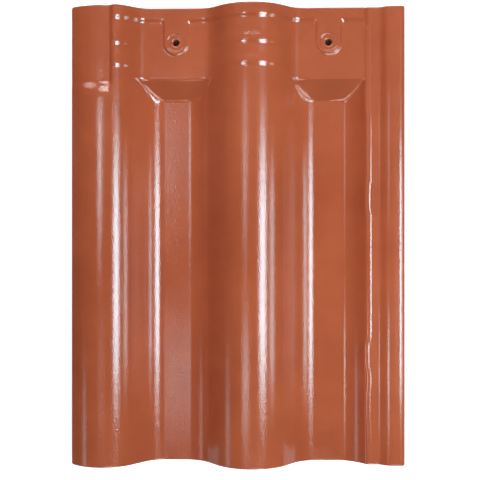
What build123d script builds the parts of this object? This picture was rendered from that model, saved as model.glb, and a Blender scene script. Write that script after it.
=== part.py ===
from build123d import *
import os
from math import acos, atan2, cos, radians, sin, sqrt, tan

# One pressed clay roof tile with two rolls, two pans and a side lock, drawn with its head at +Y
# and its tail at -Y. Sizes are in millimetres and degrees. The origin is the centre of the base,
# and the undersides of the pans and the nibs lie on z = 0. A rise is a height over the pan's top.

# Overall
TILE_LENGTH = 415.0
TILE_WIDTH = 302.0
WALL = 11.0
CORNER_ROUND = 3.0            # of the four corners, seen from above
END_ROUND = 1.6               # of the upper edges at head and tail

# Left pan, and the rolls: height over the pan, crest and foot radii, slope of the flank
LEFT_PAN_WIDTH = 17.5         # level part, between the feet of the two rolls
CENTRE_RISE = 32.2
CENTRE_CREST_RADIUS = 41.7
CENTRE_FOOT_RADIUS = 30.5
CENTRE_FLANK_ANGLE = 49.0
COVER_INSET = 28.5            # crest of the cover roll, from the left edge
COVER_RISE = 29.4
COVER_CREST_RADIUS = 37.5
COVER_FOOT_RADIUS = 28.0
COVER_FLANK_ANGLE = 45.5
EAVE_ANGLE = 36.0             # slope of the cover roll towards the left edge
EAVE_ROUND = 3.0

# Flange on the right, which the neighbour's cover roll hides: rib, channel and outer ridge
SIDE_LAP = 34.0               # how far a tile covers its neighbour
LOCK_CLEARANCE = 0.6
FLANGE_WIDTH = 35.7
FLANGE_WALL = 10.0
FLANGE_FOOT_RADIUS = 24.6
FLANGE_ROUND = 2.0
RIB_RISE = 13.3
RIB_WIDTH = 8.5
RIB_FALL = 1.4
CHANNEL_WIDTH = 4.6
STEP_WIDTH = 4.4              # slope from the channel to the ridge
RIDGE_INSET = 9.0             # crest of the ridge, from the right edge
RIDGE_RADIUS = 24.0
RIDGE_EDGE_ROUND = 3.5

# Head lap: a raised platform closes each pan, and a ramp falls from it
HEAD_LAP = 66.6
PLATFORM_RISE = 12.0
RAMP_LENGTH = 18.0
CREASE_ROUND = 2.0
RAMP_FOOT_RADIUS = 6.0

# Raised rim along the head, and weather bars over the rolls
RIM_LENGTH = 11.3
RIM_RISE = 2.2
RIM_ROUND = 1.0
BAR_FROM_HEAD = (32.6, 53.0)
BAR_WIDTH = 6.6
BAR_RISE = 1.8
BAR_ROUND = 1.5

# Lowered strip at the head of the cover roll, with a ramp back up to the roll
STRIP_WIDTH = 40.1
STRIP_LENGTH = 69.2
STRIP_RAMP = 10.7
STRIP_RADIUS = 54.0
STRIP_WALL_WIDTH = 4.2
STRIP_CLEARANCE = 0.4         # under the flange of the tile above

# Nail holes, each in a tongue of the rim, with a shallow round sink about it
NAIL_FROM_HEAD = 31.5
NAIL_SPACING = 139.0
NAIL_OFFSET = 0.7             # middle of the pair, from the centre roll's crest
NAIL_DIAMETER = 6.0
NAIL_BEVEL = 0.7
TONGUE_WIDTH = 22.2
TONGUE_CORNER = 3.5
SINK_DIAMETER = 15.8
SINK_DEPTH = 0.7

# Nibs under the platforms, which hook over the batten
NIB_WIDTH = 34.0
NIB_LENGTH = 12.0
NIB_FROM_HEAD = 5.0
NIB_DRAFT = 8.0
NIB_ROUND = 2.0

# How far the working shapes run past the tile, and how near counts as touching
SPARE = 5.0
NEAR = 0.01


class Roll:
    """Section of a roll: crest arc, straight flanks and foot arcs, each tangent to the next."""

    def __init__(self, rise, crest_radius, foot_radius, angle):
        self.rise = rise
        self.crest_radius = crest_radius
        self.foot_radius = foot_radius
        self.slope = radians(angle)
        radii = crest_radius + foot_radius
        level = rise - radii * (1 - cos(self.slope))
        self.half_width = radii * sin(self.slope) + level / tan(self.slope)

    def placed(self, x):
        """The roll with its crest at x."""
        self.x = x
        return self

    def crest_point(self, sign, share, offset):
        """Point of the crest arc, at a share of the turn from the crest to the flank."""
        turn = share * self.slope
        radius = self.crest_radius + offset
        top_z = PAN_Z + self.rise + offset
        return self.x + sign * radius * sin(turn), top_z - radius * (1 - cos(turn))

    def foot_point(self, sign, share, offset):
        """Point of the foot arc, at a share of the turn from the pan to the flank."""
        turn = share * self.slope
        radius = self.foot_radius - offset
        out = self.half_width - radius * sin(turn)
        return self.x + sign * out, PAN_Z + offset + radius * (1 - cos(turn))

    def flank_edges(self, sign, offset):
        """One side from the crest down to the pan."""
        foot = [self.foot_point(sign, share, offset) for share in (1, 0.5, 0)]
        crest = [self.crest_point(sign, share, offset) for share in (0, 0.5, 1)]
        return [ThreePointArc(*crest), Line(crest[2], foot[0]), ThreePointArc(*foot)]

    def face(self, sides, offset):
        """Section below the skin moved out by offset, on one side of the crest or on both."""
        crest = self.crest_point(1, 0, offset)
        edges = [edge for sign in sides for edge in self.flank_edges(sign, offset)]
        ends = [self.foot_point(sign, 0, offset) for sign in sides]
        if len(ends) == 1:
            ends = [crest, ends[0]]
        edges.append(Polyline(ends[0], (ends[0][0], BELOW), (ends[1][0], BELOW), ends[1]))
        return make_face(edges)


# Levels and places that follow from the sizes
LEFT = -TILE_WIDTH / 2
RIGHT = TILE_WIDTH / 2
HEAD = TILE_LENGTH / 2
TAIL = -TILE_LENGTH / 2
BELOW = -WALL
PAN_Z = WALL
PLATFORM_Z = PAN_Z + PLATFORM_RISE
RIM_Z = PLATFORM_Z + RIM_RISE
COVER_Z = PAN_Z + COVER_RISE
ABOVE = PAN_Z + CENTRE_RISE + WALL
RIB_X = RIGHT - FLANGE_WIDTH
RIB_Z = PAN_Z + RIB_RISE
CHANNEL_X = RIB_X + RIB_WIDTH
CHANNEL_Z = RIB_Z - RIB_FALL
STEP_X = CHANNEL_X + CHANNEL_WIDTH
RIDGE_X = RIGHT - RIDGE_INSET
RIDGE_Z = COVER_Z - WALL - LOCK_CLEARANCE
SEAT_Z = CHANNEL_Z - FLANGE_WALL
FLANGE_TURN = acos(1 - RIB_RISE / FLANGE_FOOT_RADIUS)
FLANGE_FOOT_X = RIB_X - FLANGE_FOOT_RADIUS * sin(FLANGE_TURN)
STRIP_X = LEFT + STRIP_WIDTH
STRIP_Z = PLATFORM_Z + SEAT_Z - STRIP_CLEARANCE
NAIL_Y = HEAD - NAIL_FROM_HEAD
NIB_Y = HEAD - NIB_FROM_HEAD - NIB_LENGTH
RAMP_ANGLE = atan2(PLATFORM_RISE, RAMP_LENGTH)

COVER = Roll(COVER_RISE, COVER_CREST_RADIUS, COVER_FOOT_RADIUS, COVER_FLANK_ANGLE).placed(LEFT + COVER_INSET)
CENTRE = Roll(CENTRE_RISE, CENTRE_CREST_RADIUS, CENTRE_FOOT_RADIUS, CENTRE_FLANK_ANGLE)
CENTRE.placed(COVER.x + COVER.half_width + LEFT_PAN_WIDTH + CENTRE.half_width)
NAIL_X = [CENTRE.x + NAIL_OFFSET + side * NAIL_SPACING / 2 for side in (-1, 1)]


def box_face(x1, x2, z1, z2):
    """Rectangle in the section plane."""
    return make_face(Polyline((x1, z1), (x2, z1), (x2, z2), (x1, z2), close=True))


def round_corner(face, point, radius):
    """Face with the corner at that point rounded."""
    corner = face.vertices().sort_by_distance((point[0], point[1], 0))[0]
    return fillet(corner, radius)


def eave_face(offset):
    """Section of the cover roll's left half: crest arc, then a straight eave to the left edge."""
    slope = radians(EAVE_ANGLE)
    radius = COVER.crest_radius + offset
    crest, middle, bend = [
        (COVER.x - radius * sin(turn), COVER_Z + offset - radius * (1 - cos(turn)))
        for turn in (0, slope / 2, slope)
    ]
    edge = (LEFT, bend[1] - (bend[0] - LEFT) * tan(slope))
    outline = [
        ThreePointArc(crest, middle, bend),
        Polyline(bend, edge, (LEFT, BELOW), (COVER.x, BELOW), crest),
    ]
    return round_corner(make_face(outline), edge, EAVE_ROUND)


def top_face(offset):
    """Section of everything below the rolls and pans, with their skin moved up by offset."""
    pans = box_face(LEFT, RIGHT, BELOW, PAN_Z + offset)
    return pans + CENTRE.face((-1, 1), offset) + COVER.face((1,), offset) + eave_face(offset)


def ridge_point(x):
    """Point of the outer ridge's arc."""
    return x, RIDGE_Z - RIDGE_RADIUS + sqrt(RIDGE_RADIUS**2 - (x - RIDGE_X) ** 2)


def flange_face():
    """Section of everything below the flange: foot arc, rib, channel, step and outer ridge."""
    foot, half, rib = [
        (FLANGE_FOOT_X + FLANGE_FOOT_RADIUS * sin(turn), PAN_Z + FLANGE_FOOT_RADIUS * (1 - cos(turn)))
        for turn in (0, FLANGE_TURN / 2, FLANGE_TURN)
    ]
    channel = [(CHANNEL_X, CHANNEL_Z), (STEP_X, CHANNEL_Z)]
    ridge, crest, edge = [ridge_point(x) for x in (STEP_X + STEP_WIDTH, RIDGE_X, RIGHT)]
    outline = [
        ThreePointArc(foot, half, rib),
        Polyline(rib, *channel, ridge),
        ThreePointArc(ridge, crest, edge),
        Polyline(edge, (RIGHT, BELOW), (FLANGE_FOOT_X, BELOW), foot),
    ]
    face = round_corner(make_face(outline), edge, RIDGE_EDGE_ROUND)
    for corner in (rib, *channel, ridge):
        face = round_corner(face, corner, FLANGE_ROUND)
    return face


def flange_under_face():
    """Section of the space below the flange: foot arc, level seat and a hollow under the ridge."""
    radius = FLANGE_FOOT_RADIUS + WALL
    turn = acos(1 - SEAT_Z / radius)
    foot, half, seat = [
        (FLANGE_FOOT_X + radius * sin(angle), radius * (1 - cos(angle))) for angle in (0, turn / 2, turn)
    ]
    hollow_x = STEP_X + STEP_WIDTH / 2
    hollow_z = RIDGE_Z - FLANGE_WALL
    outline = [
        ThreePointArc(foot, half, seat),
        Polyline(
            seat,
            (hollow_x, SEAT_Z),
            (hollow_x + hollow_z - SEAT_Z, hollow_z),
            (RIGHT + SPARE, hollow_z),
            (RIGHT + SPARE, BELOW - SPARE),
            (FLANGE_FOOT_X, BELOW - SPARE),
            foot,
        ),
    ]
    return make_face(outline)


def cover_under_face():
    """Section of the space below the cover's left half: lip on the neighbour's rib, step, level crown."""
    crown_z = COVER_Z - WALL
    lip_x = STEP_X - (TILE_WIDTH - SIDE_LAP) - LOCK_CLEARANCE
    return make_face(
        Polyline(
            (LEFT - SPARE, RIB_Z),
            (lip_x, RIB_Z),
            (lip_x + crown_z - RIB_Z, crown_z),
            (COVER.x, crown_z),
            (COVER.x, BELOW - SPARE),
            (LEFT - SPARE, BELOW - SPARE),
            close=True,
        )
    )


def under_face():
    """Section of everything below the underside, one wall under the skin."""
    floor = box_face(LEFT - SPARE, RIGHT + SPARE, BELOW - SPARE, 0)
    rolls = CENTRE.face((-1, 1), -WALL) + COVER.face((1,), -WALL)
    return floor + rolls + cover_under_face() + flange_under_face()


def along(face, start_y, end_y):
    """A section drawn out along the tile."""
    return Pos(0, start_y, 0) * extrude(Plane.XZ * face, end_y - start_y, dir=(0, 1, 0))


def end_edges(body, y, low_z):
    """The edges of a body's end at y that run across the tile and reach above low_z."""
    found = []
    for edge in body.edges():
        box = edge.bounding_box()
        in_end = abs(box.min.Y - y) < NEAR and abs(box.max.Y - y) < NEAR
        if in_end and box.max.Z > low_z and box.size.X > NEAR:
            found.append(edge)
    return found


def platform_block(top_z, shift, x1, x2):
    """Block with the platform's side profile: level from the head, then the ramp down to the pan."""
    crease = (HEAD - HEAD_LAP + shift, top_z)
    foot = (crease[0] - RAMP_LENGTH, top_z - PLATFORM_RISE)
    back_y = foot[0] - RAMP_LENGTH
    outline = [crease, foot, (back_y, foot[1]), (back_y, BELOW), (HEAD + SPARE, BELOW), (HEAD + SPARE, top_z)]
    profile = make_face(Polyline(*outline, close=True))
    profile = round_corner(profile, crease, CREASE_ROUND)
    profile = round_corner(profile, foot, RAMP_FOOT_RADIUS)
    return Pos(x1, 0, 0) * extrude(Plane.YZ * profile, x2 - x1)


def plan_box(x1, x2, y1, y2):
    """Rectangle in plan."""
    return Pos((x1 + x2) / 2, (y1 + y2) / 2) * Rectangle(x2 - x1, y2 - y1)


def plan_block(sketch, low_z, high_z):
    """A shape drawn in plan, as a block from low_z to high_z."""
    return Pos(0, 0, low_z) * extrude(sketch, high_z - low_z)


def over_rolls(offset, start_y, end_y, end_rounds):
    """A raised band over the rolls from the strip to the flange, with its two upper edges rounded."""
    band = along(top_face(offset), start_y, end_y)
    for y, radius in zip((start_y, end_y), end_rounds):
        band = fillet(end_edges(band, y, PAN_Z), radius)
    return band & plan_block(plan_box(STRIP_X, RIB_X, TAIL, HEAD), BELOW, ABOVE)


def weather_bar(from_head):
    """One low rounded bar over both rolls; the platforms hide the rest of it."""
    middle = HEAD - from_head
    return over_rolls(BAR_RISE, middle - BAR_WIDTH / 2, middle + BAR_WIDTH / 2, (BAR_ROUND, BAR_ROUND))


def rim():
    """Raised band along the head: over the rolls, across the platforms, and round each nail hole."""
    start_y = HEAD - RIM_LENGTH
    plan = plan_box(COVER.x, RIB_X, start_y, HEAD)
    for x in NAIL_X:
        plan = plan + plan_box(x - TONGUE_WIDTH / 2, x + TONGUE_WIDTH / 2, NAIL_Y, HEAD)
        plan = plan + Pos(x, NAIL_Y) * Circle(TONGUE_WIDTH / 2)
    for x in NAIL_X:
        for side in (-1, 1):
            plan = round_corner(plan, (x + side * TONGUE_WIDTH / 2, start_y), TONGUE_CORNER)
    block = plan_block(plan, PAN_Z, RIM_Z)
    top = block.faces().sort_by(Axis.Z)[-1]
    head_edge = top.edges().sort_by(Axis.Y)[-1]
    block = fillet([edge for edge in top.edges() if edge != head_edge], RIM_ROUND)
    return block + over_rolls(RIM_RISE, start_y, HEAD, (RIM_ROUND, END_ROUND))


def strip_cut():
    """What is taken off the head of the cover roll for the flange of the tile above."""

    def arc_point(x):
        return x, STRIP_Z - STRIP_RADIUS + sqrt(STRIP_RADIUS**2 - (x - COVER.x) ** 2)

    inner = arc_point(STRIP_X - STRIP_WALL_WIDTH)
    outer = arc_point(LEFT - SPARE)
    wall_slope = STRIP_WALL_WIDTH / (COVER_Z - STRIP_Z)
    wall_top = (inner[0] + (ABOVE - inner[1]) * wall_slope, ABOVE)
    face = make_face(
        [
            ThreePointArc(outer, arc_point(COVER.x), inner),
            Polyline(inner, wall_top, (outer[0], ABOVE), outer),
        ]
    )
    climb = Vector(0, -STRIP_RAMP, COVER_Z - STRIP_Z)
    ramp = extrude(Plane.XZ * face, 2 * climb.length, dir=climb)
    return along(face, HEAD - STRIP_LENGTH, HEAD + SPARE) + Pos(0, HEAD - STRIP_LENGTH, 0) * ramp


def nib(x):
    """One nib from the platform's underside to the base, tapered apart from the face on the batten."""
    plan = plan_box(x - NIB_WIDTH / 2, x + NIB_WIDTH / 2, NIB_Y - NIB_ROUND, NIB_Y + NIB_LENGTH)
    block = extrude(plan, PLATFORM_RISE + WALL / 2, taper=-NIB_DRAFT)
    block = block & plan_block(plan_box(LEFT, RIGHT, NIB_Y, HEAD), 0, ABOVE)
    return fillet(block.faces().sort_by(Axis.Z)[0].edges(), NIB_ROUND)


def nail_hole(x):
    """What is taken out for one nail: hole, bevel at its mouth and the shallow sink about it."""
    mouth_z = RIM_Z - SINK_DEPTH
    radius = NAIL_DIAMETER / 2
    hole = Cylinder(radius, mouth_z, align=(Align.CENTER, Align.CENTER, Align.MIN))
    bevel = Pos(0, 0, mouth_z - NAIL_BEVEL / 2) * Cone(radius, radius + NAIL_BEVEL, NAIL_BEVEL)
    sink = Pos(0, 0, mouth_z + SINK_DEPTH) * Cylinder(SINK_DIAMETER / 2, 2 * SINK_DEPTH)
    return Pos(x, NAIL_Y, 0) * (hole + bevel + sink)


def roof_tile():
    """The whole tile: what is under its skin, less what is under its underside."""
    body = along(top_face(0) + flange_face(), TAIL, HEAD)
    body = fillet(end_edges(body, TAIL, PAN_Z / 2) + end_edges(body, HEAD, PAN_Z / 2), END_ROUND)
    body = body + platform_block(PLATFORM_Z, 0, COVER.x, RIB_X)
    for from_head in BAR_FROM_HEAD:
        body = body + weather_bar(from_head)
    body = body - strip_cut() + rim()
    hollow = along(under_face(), TAIL - SPARE, HEAD + SPARE)
    hollow = hollow + platform_block(PLATFORM_RISE, WALL * tan(RAMP_ANGLE / 2), COVER.x, RIGHT)
    body = body - hollow
    outline = fillet(plan_box(LEFT, RIGHT, TAIL, HEAD).vertices(), CORNER_ROUND)
    body = body & plan_block(outline, 0, ABOVE)
    for x in NAIL_X:
        body = body + nib(x) - nail_hole(x)
    return body


os.makedirs("parts", exist_ok=True)
tile = roof_tile().solids()[0]
tile.label = "roof_tile"
export_step(tile, "parts/roof_tile.step")
print("volume", round(tile.volume / 1000, 1), "cm3, centre roll at", round(CENTRE.x, 2), "nails at", NAIL_X)
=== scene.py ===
from math import acos, atan, cos, pi, radians, sin, tan

import bpy
import numpy as np
from mathutils import Matrix, Vector


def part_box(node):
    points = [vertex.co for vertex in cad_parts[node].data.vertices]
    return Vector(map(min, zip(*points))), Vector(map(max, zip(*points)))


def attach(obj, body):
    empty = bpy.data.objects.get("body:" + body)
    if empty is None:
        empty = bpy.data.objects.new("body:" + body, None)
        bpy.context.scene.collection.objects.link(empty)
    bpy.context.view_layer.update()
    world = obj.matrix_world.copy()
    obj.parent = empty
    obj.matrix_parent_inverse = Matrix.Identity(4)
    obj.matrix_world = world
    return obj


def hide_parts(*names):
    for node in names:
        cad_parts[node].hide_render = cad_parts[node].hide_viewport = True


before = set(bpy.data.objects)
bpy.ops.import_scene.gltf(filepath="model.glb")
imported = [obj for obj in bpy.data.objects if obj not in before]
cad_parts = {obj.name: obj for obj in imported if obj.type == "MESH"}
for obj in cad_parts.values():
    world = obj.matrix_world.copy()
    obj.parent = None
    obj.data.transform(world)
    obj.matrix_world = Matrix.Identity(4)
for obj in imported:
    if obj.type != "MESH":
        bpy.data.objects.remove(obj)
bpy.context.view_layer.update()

# A pressed clay roof tile, glazed on top, with its head at +Y. Metres and degrees.
LOW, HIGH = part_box("roof_tile")
LEFT, RIGHT = LOW.x, HIGH.x
TAIL, HEAD = LOW.y, HIGH.y

# Walls, and the rounding of the outline
WALL = 0.011
CORNER_ROUND = 0.002
END_ROUND = 0.0010
RIGHT_ROUND = 0.0024

# Pans and rolls
LEFT_PAN_WIDTH = 0.0175
CENTRE_RISE = 0.0322
CENTRE_CREST_RADIUS = 0.0417
CENTRE_FOOT_RADIUS = 0.0305
CENTRE_FLANK_ANGLE = 49.0
COVER_INSET = 0.0285
COVER_RISE = 0.0294
COVER_CREST_RADIUS = 0.0375
COVER_FOOT_RADIUS = 0.028
COVER_FLANK_ANGLE = 45.5
EAVE_ANGLE = 36.0
# A foot starts with a tight arc off the pan: its share of the foot's radius, and how far it turns
NEAR_FOOT = 0.72
NEAR_TURN = radians(16)

# Flange on the right: rib, channel and outer ridge
SIDE_LAP = 0.034
LOCK_CLEARANCE = 0.0006
FLANGE_WIDTH = 0.0357
FLANGE_WALL = 0.010
FLANGE_FOOT_RADIUS = 0.0246
FLANGE_BLEND = 0.0030
RIB_RISE = 0.0133
RIB_WIDTH = 0.0085
RIB_FALL = 0.0014
CHANNEL_WIDTH = 0.0046
STEP_WIDTH = 0.0044
RIDGE_INSET = 0.0103
FLANGE_NEAR_INSET = 0.0555
FLANGE_NEAR_RADIUS = 0.012
FLANGE_NEAR_TURN = radians(20)
FLANGE_FAR_RADIUS = 0.0358
RIB_TOP = 0.0048
RIB_STEP = 0.0011
RIB_SLOPE = 0.133
RIDGE_SLOPE = 0.81
RIDGE_INNER_RADIUS = 0.018
RIDGE_OUTER_RADIUS = 0.0095
RIDGE_EDGE = 0.0053
RIDGE_BLEND = 0.0016
CHANNEL_BLEND = 0.0022

# Leans of the rib's worn shoulder: middle and half length along the tile, and how far it leans
RIB_LEANS = (
    (0.1500, 0.0400, 0.0009),
    (0.0345, 0.0137, 0.0010),
    (-0.1085, 0.0137, 0.0019),
    (-0.1540, 0.0162, 0.0009),
)
LEAN_SHOULDER = 0.004

# Platforms and ramps at the head of the pans
HEAD_LAP = 0.0648
PLATFORM_RISE = 0.012
RAMP_LENGTH = 0.018
PLATFORM_STOP = 0.00055
PLATFORM_STOP_SLOPE = 3

# Widths of the soft blends round them. The crease and the ramp's foot have one for the left pan and one for
# the right, and change from the first to the second between the two places across the tile.
CREASE_BLEND = (0.0009, 0.00002)
CREASE_BLEND_X = (0.052, 0.062)
RAMP_FOOT_BLEND = (0.0012, 0.00002)
RAMP_FOOT_BLEND_X = (0, 0.03)
RAMP_BLEND = 0.0034
PLATFORM_BLEND = 0.0095
FLANGE_SEAM = 0.0022

# Rim and weather bars
RIM_LENGTH = 0.0113
RIM_RISE = 0.0012
RIM_SHOULDER = 0.0050
BAR_FROM_HEAD = (0.0322, 0.0519)
BAR_BACK = 0.0090
BAR_FRONT = 0.0050
BAR_RISE = 0.00075
BAR_FADE = 0.006

# Strip at the head of the cover roll
STRIP_WIDTH = 0.0401
STRIP_LENGTH = 0.0692
STRIP_RAMP = 0.0085
STRIP_RADIUS = 0.054
STRIP_WALL_WIDTH = 0.0042
STRIP_CLEARANCE = 0.0004
STRIP_LIFT = 0.0012
STRIP_BLEND = 0.0010
STRIP_TOP_BLEND = 0.0028

# Nail holes, tongues and sinks
NAIL_FROM_HEAD = 0.0315
NAIL_SPACING = 0.1390
NAIL_OFFSET = 0.0007
NAIL_DIAMETER = 0.006
NAIL_FUNNEL = 0.0013
FUNNEL_DEPTH = 0.0006
TONGUE_WIDTH = 0.0222
TONGUE_SHOULDER = 0.0026
TONGUE_BLEND = 1.2
SINK_DIAMETER = 0.0158
SINK_DEPTH = 0.0007
SINK_SHOULDER = 0.0012

# Nibs on the underside
NIB_WIDTH = 0.034
NIB_LENGTH = 0.012
NIB_FROM_HEAD = 0.005
NIB_DRAFT = 8.0

# Blends of the underside, in its section and at the ramps, and the bevel round it
UNDER_BLEND = 0.0012
UNDER_FILLET = 0.0032
UNDER_ROUND = 0.0008

# The mesh's grid leaves a square window round each nail hole, which rings of points fill
WINDOW = 0.0096
WINDOW_SHARES = (0.8, 0.6, 0.4, 0.2, 0)
UNDER_SHARES = (0, 0.5)
SHOULDER_RINGS = 7
SINK_RINGS = 9
SINK_INSET = 0.0005

# What the grid gives a steep face, and how far a row may be from its place
HAIR = 0.0001

# Places of the grid's lines on a rounded end, as shares of its size
ROUND_LINES = (0, 0.04, 0.13, 0.27, 0.45, 0.7)

# How far the grid's close lines reach past a shoulder, an edge or a crease
PAST_TONGUE = 0.0021
PAST_TONGUE_END = 0.0016
PAST_RIM = 0.0022
PAST_BAR = 0.0050
PAST_RAMP = 0.0050
PAST_STRIP = (0.0062, 0.0040)
PAST_STRIP_END = 0.0013
PAST_RIB = 0.0030
PAST_STEP = 0.0012
PAST_UNDER = 0.002

# Materials of the mesh, by number, and their colours
GLAZE, CLAY = 0, 1
SHARP_ANGLE = 30.0
GLAZE_DARK = (0.40, 0.074, 0.028, 1)
GLAZE_LIGHT = (0.54, 0.118, 0.046, 1)
CLAY_DARK = (0.38, 0.115, 0.055, 1)
CLAY_LIGHT = (0.52, 0.19, 0.095, 1)

# How strongly clouds and patches change the glaze's colour, and grain its roughness
CLOUD_SHARE = 1.1
PATCH_SHARE = 0.8
GRAIN_SHARE = 0.10

# The glaze's gloss, its peel, which is calmer towards the flange and the head, and its waves
GLAZE_ROUGHNESS = 0.12
GLAZE_INDEX = 1.71
PEEL_HEIGHT = 0.00013
PEEL_CALMED = 0.00008
WAVE_HEIGHT = 0.00005
CALM_SHARE = 0.5
CALM_X = (0.082, 0.090)
CALM_Y = (0.130, 0.146)
CLAY_ROUGHNESS = 0.85
GRIT_HEIGHT = 0.0002

# Camera, ground and even light
CAMERA_LENS = 60.75
CAMERA_TILT = 1.19
CAMERA_DISTANCE = 0.750
CAMERA_TARGET = (0.0016, -0.0038, 0.011)
SENSOR_WIDTH = 36.0
GROUND_SIZE = 12.0
GROUND_DROP = 0.0002
GROUND_GREY = (0.8, 0.8, 0.8, 1)
GROUND_GLOW = 0.75
GROUND_BARE_X = (0.125, 0.140)
GROUND_BARE_Y = (0.180, 0.195)
GROUND_FAR = (0.5, 1.4)
WHITE = (1, 1, 1, 1)
WORLD_COLOUR = (1.0, 0.99, 0.98, 1)
WORLD_LEVEL = 0.05
COOL = (0.65, 0.90, 1.0)
WARM = (1.0, 0.97, 0.95)
LIGHT_AIM = (0.0, 0.0, 0.02)
WIDEST_SPREAD = 179.0


class Roll:
    """Section of a roll: crest arc, straight flanks and foot arcs, each tangent to the next."""

    def __init__(self, rise, crest_radius, foot_radius, angle):
        self.rise = rise
        self.crest_radius = crest_radius
        self.foot_radius = foot_radius
        self.slope = radians(angle)
        radii = crest_radius + foot_radius
        level = rise - radii * (1 - cos(self.slope))
        self.half_width = radii * sin(self.slope) + level / tan(self.slope)
        near_share = NEAR_FOOT * (1 - cos(NEAR_TURN))
        self.far_share = (1 - cos(self.slope) - near_share) / (cos(NEAR_TURN) - cos(self.slope))

    def set_crest(self, x):
        """Places the crest at x."""
        self.x = x

    def foot_rise(self, inward, radius):
        """Height of the foot: a tight arc off the pan, then a wider one that meets the flank."""
        near_radius, far_radius = NEAR_FOOT * radius, self.far_share * radius
        bend = near_radius * sin(NEAR_TURN)
        centre = radius * sin(self.slope) - far_radius * sin(self.slope)
        start = centre + far_radius * sin(NEAR_TURN)
        near = np.clip(inward - start + bend, 0, bend)
        far = np.clip(inward, start, None) - centre
        rise = near_radius - np.sqrt(near_radius**2 - near**2)
        return rise + far_radius * cos(NEAR_TURN) - np.sqrt(far_radius**2 - far**2)

    def height(self, x, offset=0.0):
        """Height of the skin at x, moved out by offset."""
        crest_radius = self.crest_radius + offset
        foot_radius = self.foot_radius - offset
        out = np.abs(x - self.x)
        inward = np.clip(self.half_width - out, 0, foot_radius * sin(self.slope))
        crest_end = crest_radius * sin(self.slope)
        foot_start = self.half_width - foot_radius * sin(self.slope)
        crest = self.rise - crest_radius + np.sqrt(np.maximum(crest_radius**2 - out**2, 0))
        flank = self.rise - crest_radius * (1 - cos(self.slope)) - (out - crest_end) * tan(self.slope)
        foot = self.foot_rise(inward, foot_radius)
        return PAN_Z + offset + np.where(out < crest_end, crest, np.where(out < foot_start, flank, foot))


# Levels and places that follow from the sizes
PAN_Z = WALL
PLATFORM_Z = PAN_Z + PLATFORM_RISE
RIM_Z = PLATFORM_Z + RIM_RISE
COVER_Z = PAN_Z + COVER_RISE
RIB_X = RIGHT - FLANGE_WIDTH
RIB_Z = PAN_Z + RIB_RISE
CHANNEL_X = RIB_X + RIB_WIDTH
CHANNEL_Z = RIB_Z - RIB_FALL
STEP_X = CHANNEL_X + CHANNEL_WIDTH
RIDGE_X = RIGHT - RIDGE_INSET
RIDGE_EDGE_X = RIGHT - RIDGE_EDGE
RIDGE_Z = COVER_Z - WALL - LOCK_CLEARANCE
SEAT_Z = CHANNEL_Z - FLANGE_WALL
HOLLOW_Z = RIDGE_Z - FLANGE_WALL
HOLLOW_X = STEP_X + STEP_WIDTH / 2
FLANGE_TURN = acos(1 - RIB_RISE / FLANGE_FOOT_RADIUS)
FLANGE_FOOT_X = RIB_X - FLANGE_FOOT_RADIUS * sin(FLANGE_TURN)
FLANGE_NEAR_X = RIGHT - FLANGE_NEAR_INSET
LIP_X = STEP_X - (RIGHT - LEFT - SIDE_LAP) - LOCK_CLEARANCE
STRIP_X = LEFT + STRIP_WIDTH
STRIP_Z = PLATFORM_Z + SEAT_Z - STRIP_CLEARANCE + STRIP_LIFT
STRIP_Y = HEAD - STRIP_LENGTH
CREASE_Y = HEAD - HEAD_LAP
RIM_Y = HEAD - RIM_LENGTH
NAIL_Y = HEAD - NAIL_FROM_HEAD
NIB_Y = HEAD - NIB_FROM_HEAD - NIB_LENGTH
RAMP_Y = CREASE_Y - RAMP_LENGTH
RAMP_SLOPE = PLATFORM_RISE / RAMP_LENGTH
UNDER_CREASE_Y = CREASE_Y + WALL * tan(atan(RAMP_SLOPE) / 2)

# Places between which one blend changes to the next, and where the rib leans in full
RAMP_SIDE_Z = (PAN_Z + 0.0001, PAN_Z + 0.0012)
PLATFORM_SIDE_Y = (CREASE_Y - 0.005, CREASE_Y + 0.001)
FLANGE_SIDE_X = (RIB_X - 0.030, RIB_X - 0.012)
UNDER_SIDE_X = (RIB_X + 0.003, RIB_X + 0.008)
RIB_LEAN_X = (RIB_X - 0.004, RIB_X, RIB_X + 0.0062, RIB_X + 0.0110)

COVER = Roll(COVER_RISE, COVER_CREST_RADIUS, COVER_FOOT_RADIUS, COVER_FLANK_ANGLE)
COVER.set_crest(LEFT + COVER_INSET)
CENTRE = Roll(CENTRE_RISE, CENTRE_CREST_RADIUS, CENTRE_FOOT_RADIUS, CENTRE_FLANK_ANGLE)
CENTRE.set_crest(COVER.x + COVER.half_width + LEFT_PAN_WIDTH + CENTRE.half_width)
NAIL_X = [CENTRE.x + NAIL_OFFSET + side * NAIL_SPACING / 2 for side in (-1, 1)]


def smooth_max(a, b, width):
    """The higher of two heights, with a soft fillet where they meet."""
    near = np.maximum(width - np.abs(a - b), 0) / width
    return np.maximum(a, b) + near * near * width / 4


def smooth_min(a, b, width):
    """The lower of two heights, with a soft round where they meet."""
    return -smooth_max(-a, -b, width)


def soft_step(distance, shoulder):
    """0 outside an outline and 1 inside, soft over one shoulder; distance is positive inside."""
    t = np.clip(distance / shoulder + 0.5, 0, 1)
    return t * t * (3 - 2 * t)


def edge_drop(distance, radius):
    """How far a rounded edge falls at a distance inside the outline."""
    inward = radius - np.clip(distance, 0, radius)
    return radius - np.sqrt(radius**2 - inward**2)


def arc_height(x, middle, top, radius):
    """Height of an arc that has its top at middle."""
    return top - radius + np.sqrt(np.maximum(radius**2 - (x - middle) ** 2, 0))


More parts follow.
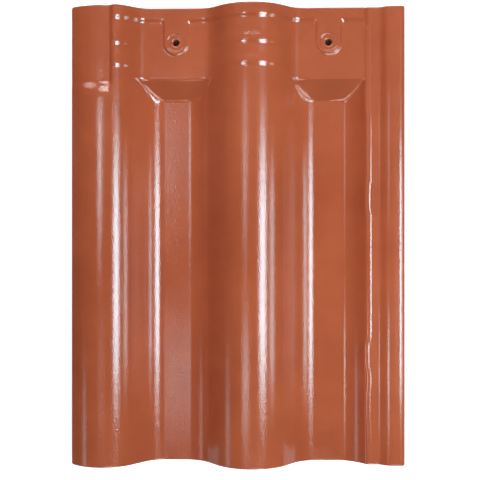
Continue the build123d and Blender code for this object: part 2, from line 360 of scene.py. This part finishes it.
def cover_height(x, offset=0.0):
    """Skin of the cover roll; its left half ends in a straight eave."""
    slope = radians(EAVE_ANGLE)
    radius = COVER.crest_radius + offset
    out = COVER.x - x
    bend = radius * sin(slope)
    eave = COVER_Z + offset - radius * (1 - cos(slope)) - (out - bend) * tan(slope)
    left = np.where(out < bend, arc_height(x, COVER.x, COVER_Z + offset, radius), eave)
    return np.where(x < COVER.x, left, COVER.height(x, offset))


def foot_height(x):
    """Height of the flange's foot: a tight arc off the pan, then a wider one up to the rib."""
    near = np.clip(x - FLANGE_NEAR_X, 0, FLANGE_NEAR_RADIUS * sin(FLANGE_NEAR_TURN))
    height = PAN_Z + FLANGE_NEAR_RADIUS - np.sqrt(FLANGE_NEAR_RADIUS**2 - near**2)
    bend_x = FLANGE_NEAR_X + FLANGE_NEAR_RADIUS * sin(FLANGE_NEAR_TURN)
    centre_x = bend_x - FLANGE_FAR_RADIUS * sin(FLANGE_NEAR_TURN)
    far = np.clip(x, bend_x, RIB_X) - centre_x
    start = FLANGE_FAR_RADIUS * cos(FLANGE_NEAR_TURN)
    height = height + start - np.sqrt(FLANGE_FAR_RADIUS**2 - far**2)
    end = (RIB_X - centre_x) / FLANGE_FAR_RADIUS
    return height + np.maximum(x - RIB_X, 0) * end / np.sqrt(1 - end**2)


def flange_height(x):
    """Skin of the flange: foot arc, rib, channel, step and outer ridge."""
    foot = foot_height(x)
    ledge = RIB_Z - np.clip(x - RIB_X - RIB_TOP, 0, RIB_STEP) * RIB_SLOPE
    rise = ledge + (x - STEP_X) * RIDGE_SLOPE
    ridge = np.minimum(
        arc_height(np.minimum(x, RIDGE_X), RIDGE_X, RIDGE_Z, RIDGE_INNER_RADIUS),
        arc_height(np.maximum(x, RIDGE_EDGE_X), RIDGE_EDGE_X, RIDGE_Z, RIDGE_OUTER_RADIUS),
    )
    outer = smooth_max(ledge, smooth_min(rise, ridge, RIDGE_BLEND), CHANNEL_BLEND)
    return smooth_min(foot, outer, FLANGE_BLEND)


def skin(x, offset=0.0):
    """Section of the tile's top below the head, with the rolls moved out by offset."""
    rolls = np.maximum(CENTRE.height(x, offset), cover_height(x, offset))
    return np.maximum(rolls, flange_height(x))


def platform(x, y, level):
    """Level platform from the head, then the ramp; it stops at the rib."""
    ramp = level - (CREASE_Y - y) * RAMP_SLOPE
    block = smooth_min(level, ramp, np.interp(x, CREASE_BLEND_X, CREASE_BLEND))
    past_stop = np.maximum(x - RIB_X + PLATFORM_STOP, 0)
    return np.maximum(block, PAN_Z - WALL) - PLATFORM_STOP_SLOPE * past_stop


def rim_inside(x, y):
    """Place on the rim's slope: a band along the head, with a steeper tongue to each nail hole."""
    inside = (y - RIM_Y) / RIM_SHOULDER
    for nail_x in NAIL_X:
        beside = np.abs(x - nail_x)
        round_end = np.hypot(beside, np.minimum(y - NAIL_Y, 0))
        inside = smooth_max(inside, (TONGUE_WIDTH / 2 - round_end) / TONGUE_SHOULDER, TONGUE_BLEND)
    return inside


def bar_height(x, y):
    """Height of the weather bars: long on the head side and short on the tail side, on the rolls alone."""
    rolls = np.maximum(CENTRE.height(x), cover_height(x))
    height = np.zeros_like(y)
    for from_head in BAR_FROM_HEAD:
        behind = y - HEAD + from_head
        share = np.clip(behind / np.where(behind > 0, BAR_BACK, BAR_FRONT), -1, 1)
        height = height + BAR_RISE * np.cos(share * pi / 2) ** 2
    return height * np.clip((rolls - PLATFORM_Z) / BAR_FADE, 0, 1)


def strip_height(x, y):
    """Floor, wall and ramp of the strip at the head of the cover roll."""
    floor = arc_height(x, COVER.x, STRIP_Z, STRIP_RADIUS)
    wall_x = STRIP_X - STRIP_WALL_WIDTH
    wall_foot = arc_height(wall_x, COVER.x, STRIP_Z, STRIP_RADIUS)
    wall = wall_foot + (x - wall_x) * (COVER_Z - STRIP_Z) / STRIP_WALL_WIDTH
    ramp = (STRIP_Y - y) * (COVER_Z - STRIP_Z) / STRIP_RAMP
    return smooth_max(floor, wall, STRIP_BLEND) + smooth_max(np.zeros_like(y), ramp, STRIP_BLEND)


def rib_wander(x, y):
    """How far the rib's worn shoulder leans to the left, which is less than 2 mm."""
    lean = np.zeros_like(y)
    for middle, half, size in RIB_LEANS:
        lean = lean - size * soft_step(half - np.abs(y - middle), LEAN_SHOULDER)
    return lean * np.interp(x, RIB_LEAN_X, [0, 1, 1, 0])


def seam_width(x, y, section):
    """Width of the blend at the ramp's foot, then at its sides, along the platform and along the flange."""
    width = np.interp(x, RAMP_FOOT_BLEND_X, RAMP_FOOT_BLEND)
    width = width + (RAMP_BLEND - width) * np.interp(section, RAMP_SIDE_Z, [0, 1])
    width = width + (PLATFORM_BLEND - width) * np.interp(y, PLATFORM_SIDE_Y, [0, 1])
    return width + (FLANGE_SEAM - width) * np.interp(x, FLANGE_SIDE_X, [0, 1])


def top_height(x, y):
    """Height of the tile's top, before its outline is rounded."""
    section = skin(x - rib_wander(x, y))
    seam = seam_width(x, y, section)
    z = smooth_max(section, platform(x, y, PLATFORM_Z), seam) + bar_height(x, y)
    rim = smooth_max(skin(x, RIM_RISE), platform(x, y, RIM_Z), seam)
    z = z + (rim - z) * soft_step(rim_inside(x, y), 1.0)
    for nail_x in NAIL_X:
        radius = np.hypot(x - nail_x, y - NAIL_Y)
        z = z - SINK_DEPTH * soft_step(SINK_DIAMETER / 2 - radius, SINK_SHOULDER)
        funnel = np.clip((NAIL_DIAMETER / 2 + NAIL_FUNNEL - radius) / NAIL_FUNNEL, 0, 1)
        z = z - FUNNEL_DEPTH * funnel**2
    return smooth_min(z, strip_height(x, y), STRIP_TOP_BLEND)


def flange_under(x):
    """Underside of the flange: foot arc, level seat, and a hollow under the ridge."""
    radius = FLANGE_FOOT_RADIUS + WALL
    turned = np.clip(x - FLANGE_FOOT_X, 0, radius)
    foot = radius - np.sqrt(radius**2 - turned**2)
    hollow = np.clip(SEAT_Z + x - HOLLOW_X, SEAT_Z, HOLLOW_Z)
    return smooth_min(foot, hollow, UNDER_BLEND)


def cover_under(x):
    """Underside of the cover roll: lip on the neighbour's rib, step, level crown, then the roll's arc."""
    crown_z = COVER_Z - WALL
    lip = np.clip(RIB_Z + x - LIP_X, RIB_Z, crown_z)
    return np.where(x < COVER.x, lip, COVER.height(x, -WALL))


def under_height(x, y):
    """Height of the tile's underside."""
    section = np.maximum(CENTRE.height(x, -WALL), cover_under(x))
    section = np.maximum(section, flange_under(x))
    ramp = PLATFORM_RISE - (UNDER_CREASE_Y - y) * RAMP_SLOPE
    fillet = np.interp(x, UNDER_SIDE_X, [UNDER_FILLET, UNDER_BLEND])
    z = smooth_max(section, np.clip(ramp, -WALL, PLATFORM_RISE), fillet)
    for nail_x in NAIL_X:
        beside = np.abs(x - nail_x) - NIB_WIDTH / 2
        behind = y - NIB_Y - NIB_LENGTH
        outside = np.maximum(np.maximum(beside, behind), 0) / tan(radians(NIB_DRAFT))
        front = np.where(y < NIB_Y, PLATFORM_RISE, 0)
        z = np.where(section < PLATFORM_RISE, np.minimum(z, np.maximum(outside, front)), z)
    return z


def outline_distance(x, y):
    """Distance inside the tile's outline, whose four corners are round."""
    beside = np.minimum(x - LEFT, RIGHT - x)
    end = np.minimum(y - TAIL, HEAD - y)
    corner = CORNER_ROUND - np.hypot(CORNER_ROUND - beside, CORNER_ROUND - end)
    in_corner = (beside < CORNER_ROUND) & (end < CORNER_ROUND)
    return np.where(in_corner, corner, np.minimum(beside, end))


def glazed_height(x, y):
    """Height of the finished top, rounded along its outline."""
    drop = np.maximum(edge_drop(outline_distance(x, y), END_ROUND), edge_drop(RIGHT - x, RIGHT_ROUND))
    return top_height(x, y) - drop


def ticks(start, end, marks, size):
    """Grid lines from start to end: close together at both rounded ends, evenly spaced between marks.

    A mark is a place and the spacing from it to the next mark.
    """
    near = np.array(ROUND_LINES) * size
    places = [start + size, *(place for place, _ in marks[1:]), end - size]
    found = [start + near]
    for low, high, (_, step) in zip(places, places[1:], marks):
        count = max(round((high - low) / step), 1)
        found.append(np.linspace(low, high, count, endpoint=False))
    return np.concatenate([*found, [end - size], (end - near)[::-1]])


def column_lines():
    """Grid lines across the tile."""
    marks = [
        (LEFT, 0.0015),
        (LIP_X, 0.0013),
        (LIP_X + COVER_Z - WALL - RIB_Z, 0.0015),
        (STRIP_X - PAST_STRIP[0], 0.0006),
        (STRIP_X + PAST_STRIP[1], 0.0016),
    ]
    nib = NIB_WIDTH / 2
    nib_foot = nib + PLATFORM_RISE * tan(radians(NIB_DRAFT))
    tongue = TONGUE_WIDTH / 2 + PAST_TONGUE
    for nail_x, after in zip(NAIL_X, (0.0016, 0.0014)):
        marks += [
            (nail_x - nib_foot, 0.0012),
            (nail_x - nib, 0.0015),
            (nail_x - tongue, 0.0006),
            (nail_x - WINDOW, 0.0012),
            (nail_x + WINDOW, 0.0006),
            (nail_x + tongue, 0.0015),
            (nail_x + nib, 0.0012),
            (nail_x + nib_foot, after),
        ]
    marks += [(RIB_X - PAST_RIB, 0.00055), (STEP_X + STEP_WIDTH + PAST_STEP, 0.0012)]
    return ticks(LEFT, RIGHT, marks, CORNER_ROUND)


def row_lines():
    """Grid lines along the tile, close together over the head's features."""
    bar_y = HEAD - BAR_FROM_HEAD[1]
    marks = [
        (TAIL, 0.0036),
        (RAMP_Y - PAST_RAMP, 0.0008),
        (RAMP_Y + PAST_RAMP, 0.0011),
        (STRIP_Y - PAST_STRIP_END, 0.0008),
        (CREASE_Y, 0.0010),
        (CREASE_Y + PAST_RAMP, 0.0013),
        (bar_y - PAST_BAR, 0.0006),
        (bar_y + PAST_BAR, 0.0011),
        (NAIL_Y - TONGUE_WIDTH / 2 - PAST_TONGUE_END, 0.0006),
        (NAIL_Y - WINDOW, 0.0007),
        (NAIL_Y + WINDOW, 0.0008),
        (NIB_Y - HAIR, HAIR),
        (NIB_Y, 0.0008),
        (RIM_Y - PAST_RIM, 0.0005),
        (RIM_Y + PAST_RIM, 0.0013),
        (NIB_Y + NIB_LENGTH, 0.0010),
    ]
    return ticks(TAIL, HEAD, marks, CORNER_ROUND)


def under_rows(rows):
    """Which of the rows the underside uses: all at the ends, ramps and nails, and every third elsewhere."""
    keep = np.zeros(len(rows), bool)
    keep[::3] = True
    end_rows = len(ROUND_LINES) + 1
    keep[:end_rows] = keep[-end_rows:] = True
    ramp_middle = UNDER_CREASE_Y - RAMP_LENGTH / 2
    stretches = [
        (ramp_middle, RAMP_LENGTH / 2 + PAST_UNDER),
        (NAIL_Y, WINDOW + HAIR),
        (NIB_Y, PAST_UNDER),
        (NIB_Y + NIB_LENGTH, HAIR),
    ]
    for middle, half in stretches:
        keep |= np.abs(rows - middle) < half
    return np.flatnonzero(keep)


def on_outline(x, y):
    """Grid points with those in the four corners drawn in to a round corner."""
    u = np.maximum(CORNER_ROUND - np.minimum(x - LEFT, RIGHT - x), 0)
    v = np.maximum(CORNER_ROUND - np.minimum(y - TAIL, HEAD - y), 0)
    scale = np.where((u > 0) & (v > 0), np.maximum(u, v) / np.maximum(np.hypot(u, v), 1e-9), 1)
    return x + np.sign(x) * u * (scale - 1), y + np.sign(y) * v * (scale - 1)


class Shell:
    """A closed mesh put together from grids and rings of points."""

    def __init__(self):
        self.points = []
        self.faces = []
        self.materials = []

    def add_points(self, x, y, z):
        """Adds points and returns their numbers, in the same layout."""
        start = len(self.points)
        self.points.extend(np.stack([x.ravel(), y.ravel(), z.ravel()], 1).tolist())
        return start + np.arange(x.size).reshape(x.shape)

    def add_faces(self, faces, material):
        """Adds faces, each a list of point numbers, in one material."""
        self.faces.extend(faces)
        self.materials.extend([material] * len(faces))

    def add_grid(self, grid, holes, material, up=True):
        """Quads between the rows and columns of a grid, apart from the cells in holes."""
        keep = np.ones((grid.shape[0] - 1, grid.shape[1] - 1), bool)
        for rows, columns in holes:
            keep[rows, columns] = False
        corners = [grid[:-1, :-1], grid[:-1, 1:], grid[1:, 1:], grid[1:, :-1]]
        quads = np.stack([corner[keep] for corner in corners], 1)
        self.add_faces((quads if up else quads[:, ::-1]).tolist(), material)

    def add_band(self, outer, inner, material):
        """Quads between two rings with the same number of points."""
        quads = np.stack([outer, np.roll(outer, -1), np.roll(inner, -1), inner], 1)
        self.add_faces(quads.tolist(), material)


def loop_of(grid, rows, columns):
    """Numbers round the cells of a grid, starting at the low corner and turning left."""
    block = grid[rows.start : rows.stop + 1, columns.start : columns.stop + 1]
    return np.concatenate([block[0, :-1], block[:-1, -1], block[-1, :0:-1], block[:0:-1, 0]])


def window_cells(lines, middle):
    """The cells of one direction that lie in the window round a nail hole."""
    start, stop = [int(np.argmin(np.abs(lines - middle - side * WINDOW))) for side in (-1, 1)]
    return slice(start, stop)


def add_nail_window(shell, nail_x, top_loop, low_loop):
    """Rings from the top's window to the nail hole, down through it, and out again below.

    A share of 1 lies on the window's edge, and a share of 0 on the circle with that radius.
    """
    points = np.array([shell.points[number] for number in top_loop])
    across, along = points[:, 0] - nail_x, points[:, 1] - NAIL_Y
    reach = np.hypot(across, along)

    def ring(share, radius, height):
        scale = (share * reach + (1 - share) * radius) / reach
        x, y = nail_x + across * scale, NAIL_Y + along * scale
        return shell.add_points(x, y, height(x, y))

    hole = NAIL_DIAMETER / 2
    edge = SINK_DIAMETER / 2 + SINK_SHOULDER
    floor = edge - 2 * SINK_SHOULDER
    radii = [*np.linspace(edge, floor, SHOULDER_RINGS)[1:]]
    radii += [*np.linspace(floor - SINK_INSET, hole, SINK_RINGS)]
    rings = [top_loop]
    rings += [ring(share, edge, glazed_height) for share in WINDOW_SHARES]
    rings += [ring(0, radius, glazed_height) for radius in radii]
    for outer, inner in zip(rings, rings[1:]):
        shell.add_band(outer, inner, GLAZE)
    low_rings = [ring(share, hole, under_height) for share in UNDER_SHARES] + [low_loop]
    shell.add_band(rings[-1], low_rings[0], CLAY)
    for outer, inner in zip(low_rings, low_rings[1:]):
        shell.add_band(outer, inner, CLAY)


def add_walls(shell, top, low, kept):
    """Walls from the outline of the underside up to the outline of the top."""
    shell.add_faces(np.stack([low[0, :-1], low[0, 1:], top[0, 1:], top[0, :-1]], 1).tolist(), CLAY)
    shell.add_faces(np.stack([low[-1, 1:], low[-1, :-1], top[-1, :-1], top[-1, 1:]], 1).tolist(), CLAY)
    # A side's face spans one step of the underside and every row of the top that lies on it
    for column, order in ((-1, 1), (0, -1)):
        for i, (start, stop) in enumerate(zip(kept, kept[1:])):
            face = [*low[i : i + 2, column], *top[start : stop + 1, column][::-1]]
            shell.add_faces([[int(number) for number in face[::order]]], CLAY)


def tile_mesh():
    """The whole tile as one closed mesh, with real nail holes."""
    columns, rows = column_lines(), row_lines()
    kept = under_rows(rows)
    shell = Shell()
    x, y = on_outline(*np.meshgrid(columns, rows))
    top = shell.add_points(x, y, glazed_height(x, y))
    low_x, low_y = x[kept], y[kept]
    bevel = edge_drop(outline_distance(low_x, low_y), UNDER_ROUND)
    low = shell.add_points(low_x, low_y, under_height(low_x, low_y) + bevel)
    top_rows = window_cells(rows, NAIL_Y)
    low_rows = window_cells(rows[kept], NAIL_Y)
    cells = [window_cells(columns, nail_x) for nail_x in NAIL_X]
    shell.add_grid(top, [(top_rows, cell) for cell in cells], GLAZE)
    shell.add_grid(low, [(low_rows, cell) for cell in cells], CLAY, up=False)
    for nail_x, cell in zip(NAIL_X, cells):
        add_nail_window(shell, nail_x, loop_of(top, top_rows, cell), loop_of(low, low_rows, cell))
    add_walls(shell, top, low, kept)
    mesh = bpy.data.meshes.new("glazed_tile")
    mesh.from_pydata(shell.points, [], shell.faces)
    mesh.polygons.foreach_set("material_index", shell.materials)
    mesh.shade_smooth()
    mesh.set_sharp_from_angle(angle=radians(SHARP_ANGLE))
    mesh.validate()
    return mesh


class Value:
    """A shader socket that takes part in plain arithmetic, through Math nodes."""

    def __init__(self, tree, socket):
        self.tree = tree
        self.socket = socket

    def math(self, operation, other=0.0, first=None, clamp=False):
        """One Math node on this value and another, or on first and this one."""
        node = self.tree.nodes.new("ShaderNodeMath")
        node.operation = operation
        node.use_clamp = clamp
        for slot, value in enumerate((self if first is None else first, other)):
            link(self.tree, node.inputs[slot], value)
        return Value(self.tree, node.outputs[0])

    def __add__(self, other):
        return self.math("ADD", other)

    __radd__ = __add__

    def __mul__(self, other):
        return self.math("MULTIPLY", other)

    __rmul__ = __mul__

    def __sub__(self, other):
        return self.math("SUBTRACT", other)

    def __rsub__(self, other):
        return self.math("SUBTRACT", self, first=other)

    def __truediv__(self, other):
        return self.math("DIVIDE", other)

    def most(self, other):
        """The higher of two values."""
        return self.math("MAXIMUM", other)

    def size(self):
        """The value without its sign."""
        return self.math("ABSOLUTE")

    def held(self):
        """The value, kept from 0 to 1."""
        return self.math("ADD", clamp=True)

    def between(self, low, high):
        """0 below low and 1 above high, smooth between."""
        t = ((self - low) / (high - low)).held()
        return t * t * (3.0 - 2.0 * t)


def link(tree, target, value):
    """Feeds an input with another node's socket, or sets it to a constant."""
    if isinstance(value, Value):
        tree.links.new(value.socket, target)
    else:
        target.default_value = value


class Shader:
    """The node tree of a material or a world, with one method that adds any node."""

    def __init__(self, owner):
        owner.use_nodes = True
        self.tree = owner.node_tree
        self.tree.nodes.clear()

    def add(self, node_type, settings, inputs, output=0):
        """Adds a node, sets its settings and then its inputs, and returns one output, if it has any."""
        node = self.tree.nodes.new(node_type)
        for key, value in settings.items():
            setattr(node, key, value)
        for key, value in inputs.items():
            link(self.tree, node.inputs[key], value)
        return Value(self.tree, node.outputs[output]) if node.outputs else None

    def place(self):
        """Position on the object, in metres: the whole vector and its three parts."""
        whole = self.add("ShaderNodeTexCoord", {}, {}, "Object")
        parts = [self.add("ShaderNodeSeparateXYZ", {}, {"Vector": whole}, axis) for axis in "XYZ"]
        return whole, parts

    def noise(self, place, scale, detail, roughness=0.5):
        """Fractal noise about 0.5."""
        values = {"Vector": place, "Scale": scale, "Detail": detail, "Roughness": roughness}
        return self.add("ShaderNodeTexNoise", {}, values)

    def mix(self, factor, a, b):
        """Mixes two colours; the sockets are picked by place, since their names repeat."""
        return self.add("ShaderNodeMix", {"data_type": "RGBA"}, {0: factor, 6: a, 7: b}, 2)

    def choose(self, factor, a, b):
        """Shader a where the factor is 0, and b where it is 1."""
        return self.add("ShaderNodeMixShader", {}, {0: factor, 1: a, 2: b})

    def seen(self):
        """1 for what the camera sees directly, and 0 for what lights or is mirrored."""
        return self.add("ShaderNodeLightPath", {}, {}, "Is Camera Ray")

    def bumped(self, height):
        """Normal of a surface with that height, in metres."""
        return self.add("ShaderNodeBump", {}, {"Height": height, "Distance": 1.0, "Strength": 1.0})

    def finish(self, shader, kind="Material"):
        """Ends the tree of a material or a world in a shader."""
        self.add("ShaderNodeOutput" + kind, {}, {"Surface": shader})


def glaze_material():
    """Glossy orange-brown glaze with a fine orange-peel surface."""
    material = bpy.data.materials.new("glazed_clay")
    shader = Shader(material)
    whole, (x, y, _) = shader.place()
    clouds = shader.noise(whole, scale=9.0, detail=3.0)
    patches = shader.noise(whole, scale=38.0, detail=4.0, roughness=0.6)
    grain = shader.noise(whole, scale=420.0, detail=3.0, roughness=0.6)
    peel = shader.noise(whole, scale=720.0, detail=1.0)
    waves = shader.noise(whole, scale=140.0, detail=2.0)
    light = ((clouds - 0.5) * CLOUD_SHARE + (patches - 0.5) * PATCH_SHARE + 0.5).held()
    calm = (x.between(*CALM_X) * CALM_SHARE).most(y.between(*CALM_Y))
    height = peel * (PEEL_HEIGHT - calm * PEEL_CALMED) + waves * WAVE_HEIGHT
    inputs = {
        "Base Color": shader.mix(light, GLAZE_DARK, GLAZE_LIGHT),
        "Roughness": (grain - 0.5) * GRAIN_SHARE + GLAZE_ROUGHNESS,
        "IOR": GLAZE_INDEX,
        "Normal": shader.bumped(height),
    }
    shader.finish(shader.add("ShaderNodeBsdfPrincipled", {}, inputs))
    return material


def clay_material():
    """Raw fired clay of the walls and the underside."""
    material = bpy.data.materials.new("raw_clay")
    shader = Shader(material)
    whole, _ = shader.place()
    patches = shader.noise(whole, scale=26.0, detail=4.0, roughness=0.6)
    grit = shader.noise(whole, scale=900.0, detail=3.0, roughness=0.6)
    inputs = {
        "Base Color": shader.mix(patches, CLAY_DARK, CLAY_LIGHT),
        "Roughness": CLAY_ROUGHNESS,
        "Normal": shader.bumped(grit * GRIT_HEIGHT),
    }
    shader.finish(shader.add("ShaderNodeBsdfPrincipled", {}, inputs))
    return material


def make_tile():
    """The dressed tile, in place of the CAD solid."""
    tile = bpy.data.objects.new("glazed_tile", tile_mesh())
    bpy.context.scene.collection.objects.link(tile)
    tile.data.materials.append(glaze_material())
    tile.data.materials.append(clay_material())
    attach(tile, "root")
    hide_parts("roof_tile")


def ground_material():
    """White ground: with soft shadows near the tile, bare below it, and plain white far off."""
    material = bpy.data.materials.new("white_ground")
    shader = Shader(material)
    diffuse = shader.add("ShaderNodeBsdfDiffuse", {}, {"Color": GROUND_GREY})
    glow = shader.add("ShaderNodeEmission", {}, {"Color": WHITE, "Strength": GROUND_GLOW})
    white = shader.add("ShaderNodeEmission", {}, {"Color": WHITE, "Strength": 1.0})
    near = shader.add("ShaderNodeAddShader", {}, {0: diffuse, 1: glow})
    _, (x, y, _) = shader.place()
    x, y = x.size(), y.size()
    lit = shader.choose(x.most(y).between(*GROUND_FAR), near, white)
    beyond = x.between(*GROUND_BARE_X).most(y.between(*GROUND_BARE_Y))
    shader.finish(shader.choose(shader.seen() * beyond, diffuse, lit))
    return material


def make_ground():
    """Floor under the tile."""
    bpy.ops.mesh.primitive_plane_add(size=GROUND_SIZE, location=(0, 0, -GROUND_DROP))
    ground = bpy.context.object
    ground.name = "ground"
    ground.data.materials.append(ground_material())


def set_world():
    """Even neutral light for the object, and white for the camera."""
    world = bpy.data.worlds.new("studio")
    shader = Shader(world)
    even = shader.add("ShaderNodeBackground", {}, {"Color": WORLD_COLOUR, "Strength": WORLD_LEVEL})
    white = shader.add("ShaderNodeBackground", {}, {"Color": WHITE, "Strength": 1.0})
    shader.finish(shader.choose(shader.seen(), even, white), "World")
    bpy.context.scene.world = world


def area_light(name, place, size, radiance, colour, aim=LIGHT_AIM, spread=180.0):
    """Soft rectangular light: size is across by along, and radiance sets how bright its reflection is.

    A narrow spread keeps the light off the rest of the tile, at the same radiance.
    """
    data = bpy.data.lights.new(name, "AREA")
    data.shape = "RECTANGLE"
    data.size, data.size_y = size
    half = radians(min(spread, WIDEST_SPREAD)) / 2
    data.energy = radiance * pi * size[0] * size[1] * (1 - half / tan(half))
    data.color = colour
    data.spread = radians(spread)
    light = bpy.data.objects.new(name, data)
    light.location = place
    away = Vector(place) - Vector(aim)
    across = Vector((0, 1, 0)).cross(away).normalized()
    along = away.cross(across).normalized()
    axes = [across, along, away.normalized()]
    light.rotation_euler = Matrix(axes).transposed().to_euler()
    bpy.context.scene.collection.objects.link(light)


def make_lights():
    """Studio lights, placed by their reflections in the rolls, and warm fills that these don't show."""
    area_light("main_right", (0.648, -0.076, 1.184), (0.36, 0.59), 14.0, COOL)
    area_light("main_head", (0.648, 0.410, 1.184), (0.34, 0.25), 0.5, COOL)
    area_light("low_right", (0.422, -0.056, 0.327), (0.09, 0.32), 5.2, COOL)
    area_light("upper_left", (-0.525, 0.217, 1.655), (0.24, 0.36), 15.0, COOL, (-0.24, 0.06, 0.04), 20.0)
    area_light("lower_left", (-0.253, -0.290, 1.0), (0.21, 0.20), 8.5, COOL, (0.22, -0.13, 0.02), 34.0)
    area_light("lower_patch", (-0.156, -0.300, 1.0), (0.07, 0.16), 9.0, COOL, (-0.02, -0.13, 0.01), 14.0)
    area_light("upper_dim", (-0.272, 0.185, 1.0), (0.20, 0.25), 1.0, COOL)
    area_light("upper_patch", (-0.158, 0.215, 1.0), (0.08, 0.14), 0.8, COOL)
    area_light("low_left", (-0.95, -0.44, 0.52), (0.15, 0.32), 1.8, COOL)
    area_light("bar_glint", (-0.41, -0.05, 1.2), (0.18, 0.12), 26.0, COOL, (0.004, 0.165, 0.04), 14.0)
    area_light("head_sheen", (0.0, 0.50, 1.0), (1.6, 0.6), 0.15, WARM)
    area_light("fill_head", (0.02, 0.95, 0.95), (0.8, 0.4), 6.7, WARM)
    area_light("head_left", (-0.9, 1.3, 0.7), (0.6, 0.6), 3.4, WARM)
    area_light("fill_tail", (0.26, -0.80, 1.06), (0.8, 0.3), 5.3, WARM)


def make_camera():
    """Camera above, leaning a little to the tile's right."""
    tilt = radians(CAMERA_TILT)
    data = bpy.data.cameras.new("camera")
    data.sensor_width = SENSOR_WIDTH
    data.lens = CAMERA_LENS
    camera = bpy.data.objects.new("camera", data)
    direction = Vector((sin(tilt), 0, cos(tilt)))
    camera.location = Vector(CAMERA_TARGET) + CAMERA_DISTANCE * direction
    camera.rotation_euler = (0, tilt, 0)
    bpy.context.scene.collection.objects.link(camera)
    bpy.context.scene.camera = camera
    bpy.context.scene.view_settings.view_transform = "Standard"


make_tile()
make_ground()
set_world()
make_lights()
make_camera()
